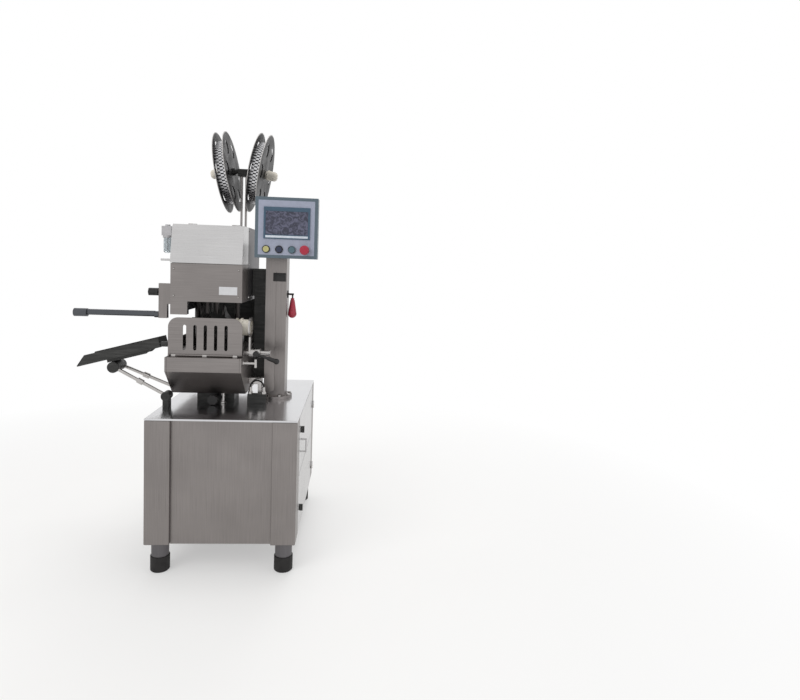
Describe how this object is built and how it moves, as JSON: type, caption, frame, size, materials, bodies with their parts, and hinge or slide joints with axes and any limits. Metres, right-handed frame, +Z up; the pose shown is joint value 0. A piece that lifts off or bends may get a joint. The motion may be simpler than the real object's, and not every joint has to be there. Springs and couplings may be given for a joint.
{
  "type": "sausage clipper",
  "caption": "Automatic double clipper for sausage casings: cabinet on feet, column, clipping head with punches, dies and gates, clip reels, outfeed chute and swivelling control panel.",
  "frame": {"origin": "on the floor, under the middle of the whole outline", "axes": "+Z up, +X towards the casing feed, -Y towards the operator"},
  "size_m": [1.127, 0.93, 2.0475],
  "materials": {
    "brushed_stainless": "brushed stainless sheet",
    "bright_stainless": "fine brushed stainless",
    "aluminium_wire": "drawn aluminium clip wire",
    "painted_grey": "textured grey powder coat",
    "cast_aluminium": "die cast, light grey",
    "clear_bowl": "clear polycarbonate",
    "dark_steel": "blackened steel, satin",
    "black_rubber": "moulded black rubber",
    "black_plastic": "moulded black nylon",
    "white_plastic": "turned off-white polymer",
    "red_plastic": "moulded red plastic",
    "yellow_plastic": "moulded yellow plastic",
    "navy_plastic": "moulded navy plastic",
    "teal_plastic": "moulded teal plastic",
    "screen_blue": "screen film over a blue frame"
  },
  "bodies": {
    "machine": {"corner_posts": "brushed_stainless", "worktop": "brushed_stainless", "base_panels": "brushed_stainless", "leg_tubes": "brushed_stainless", "lower_housing": "brushed_stainless", "end_plates": "brushed_stainless", "rear_wall": "brushed_stainless", "head_frame": "brushed_stainless", "head_front_panel": "brushed_stainless", "head_rear_cover": "brushed_stainless", "column": "brushed_stainless", "support_brackets": "brushed_stainless", "rail_bracket": "brushed_stainless", "reel_post": "brushed_stainless", "brake_bar": "bright_stainless", "hinges": "bright_stainless", "flange_bolts": "bright_stainless", "guide_rods": "bright_stainless", "gate_shaft": "bright_stainless", "air_cylinders": "bright_stainless", "hose_fittings": "bright_stainless", "electrical_box": "painted_grey", "lubricator_head": "cast_aluminium", "lubricator_bowl": "clear_bowl", "chute_strut": "dark_steel", "loop_rail": "dark_steel", "panel_arm": "dark_steel", "foot_cups": "black_rubber", "air_hose": "black_rubber", "rear_inlets": "black_plastic", "pendant_hook": "black_plastic", "reel_knobs": "white_plastic", "pendant_grip": "red_plastic"},
    "door": {"right_door": "bright_stainless"},
    "latch_upper": {"latch_upper": "dark_steel"},
    "latch_lower": {"latch_lower": "dark_steel"},
    "head_cover": {"head_cover": "bright_stainless"},
    "slotted_guard": {"slotted_guard": "brushed_stainless"},
    "left_reel": {"left_reel": "brushed_stainless", "left_clips": "aluminium_wire"},
    "right_reel": {"right_reel": "brushed_stainless", "right_clips": "aluminium_wire"},
    "panel": {"panel_box": "brushed_stainless", "panel_screen": "screen_blue"},
    "start_button": {"start_button": "yellow_plastic"},
    "select_button": {"select_button": "navy_plastic"},
    "jog_button": {"jog_button": "teal_plastic"},
    "estop_button": {"estop_button": "red_plastic"},
    "chute": {"chute_tray": "dark_steel"},
    "brake": {"brake_arm": "bright_stainless", "brake_ring": "white_plastic"},
    "clamp_lever": {"clamp_lever": "black_plastic"},
    "t_handle": {"t_handle": "bright_stainless"},
    "rail_knob": {"rail_knob": "black_plastic"},
    "lock_knob": {"lock_knob": "black_plastic"},
    "ram": {"punch_ram": "bright_stainless"},
    "die": {"die_block": "bright_stainless"},
    "upper_gates": {"upper_gates": "brushed_stainless"},
    "lower_gates": {"lower_gates": "brushed_stainless"}
  },
  "joints": [
    {"name": "door_swing", "type": "hinge", "parent": "machine", "child": "door", "pos_m": [0.5185, 0.355, 0.4], "axis": [0, 0, 1], "range_deg": [0, 110]},
    {"name": "latch_upper_turn", "type": "hinge", "parent": "door", "child": "latch_upper", "pos_m": [0.5125, -0.295, 0.617], "axis": [1, 0, 0], "range_deg": [0, 90]},
    {"name": "latch_lower_turn", "type": "hinge", "parent": "door", "child": "latch_lower", "pos_m": [0.5125, -0.295, 0.242], "axis": [1, 0, 0], "range_deg": [0, 90]},
    {"name": "cover_lift", "type": "hinge", "parent": "machine", "child": "head_cover", "pos_m": [0.0555, -0.095, 1.562], "axis": [-1, 0, 0], "range_deg": [0, 95]},
    {"name": "guard_drop", "type": "hinge", "parent": "machine", "child": "slotted_guard", "pos_m": [0.0565, -0.256, 0.948], "axis": [1, 0, 0], "range_deg": [0, 90]},
    {"name": "left_reel_spin", "type": "hinge", "parent": "machine", "child": "left_reel", "pos_m": [0.0775, 0.085, 1.843], "axis": [-0.9863, 0, -0.165], "continuous": true},
    {"name": "right_reel_spin", "type": "hinge", "parent": "machine", "child": "right_reel", "pos_m": [0.2415, 0.085, 1.843], "axis": [0.9863, 0, -0.165], "continuous": true},
    {"name": "panel_swivel", "type": "hinge", "parent": "machine", "child": "panel", "pos_m": [0.3485, -0.145, 1.45], "axis": [0, 0, 1], "range_deg": [-45, 45]},
    {"name": "start_press", "type": "slide", "parent": "panel", "child": "start_button", "axis": [0, 1, 0], "range_m": [0, 0.004], "stiffness_N_per_m": 400},
    {"name": "select_press", "type": "slide", "parent": "panel", "child": "select_button", "axis": [0, 1, 0], "range_m": [0, 0.004], "stiffness_N_per_m": 400},
    {"name": "jog_press", "type": "slide", "parent": "panel", "child": "jog_button", "axis": [0, 1, 0], "range_m": [0, 0.004], "stiffness_N_per_m": 400},
    {"name": "estop_press", "type": "slide", "parent": "panel", "child": "estop_button", "axis": [0, 1, 0], "range_m": [0, 0.005]},
    {"name": "chute_lift", "type": "hinge", "parent": "machine", "child": "chute", "pos_m": [-0.1395, -0.185, 0.996], "axis": [0, 1, 0], "range_deg": [0, 25]},
    {"name": "brake_slide", "type": "slide", "parent": "machine", "child": "brake", "axis": [1, 0, 0], "range_m": [0, 0.04]},
    {"name": "clamp_turn", "type": "hinge", "parent": "brake", "child": "clamp_lever", "pos_m": [0.2845, -0.207, 0.956], "axis": [0, -1, 0], "range_deg": [0, 90]},
    {"name": "t_handle_turn", "type": "hinge", "parent": "machine", "child": "t_handle", "pos_m": [0.2425, -0.26, 0.917], "axis": [1, 0, 0], "range_deg": [0, 90]},
    {"name": "rail_knob_turn", "type": "hinge", "parent": "machine", "child": "rail_knob", "pos_m": [-0.1975, -0.185, 1.236], "axis": [-1, 0, 0], "range_deg": [0, 360]},
    {"name": "lock_knob_turn", "type": "hinge", "parent": "machine", "child": "lock_knob", "pos_m": [0.0805, -0.19, 0.7265], "axis": [0, -1, 0], "range_deg": [0, 360]},
    {"name": "ram_stroke", "type": "slide", "parent": "machine", "child": "ram", "axis": [0, 0, -1], "range_m": [0, 0.055]},
    {"name": "die_stroke", "type": "slide", "parent": "machine", "child": "die", "axis": [0, 0, 1], "range_m": [0, 0.0251]},
    {"name": "upper_gate_swing", "type": "hinge", "parent": "machine", "child": "upper_gates", "pos_m": [0.0725, 0, 1.078], "axis": [1, 0, 0], "range_deg": [0, 22.05]},
    {"name": "lower_gate_swing", "type": "hinge", "parent": "machine", "child": "lower_gates", "pos_m": [0.0725, 0, 1.078], "axis": [-1, 0, 0], "range_deg": [0, 22.05]}
  ],
  "couplings": [
    {"joint": "die_stroke", "follows": "ram_stroke", "ratio": 0.45455},
    {"joint": "upper_gate_swing", "follows": "ram_stroke", "rad_per_m": 6.9813},
    {"joint": "lower_gate_swing", "follows": "ram_stroke", "rad_per_m": 6.9813}
  ]
}
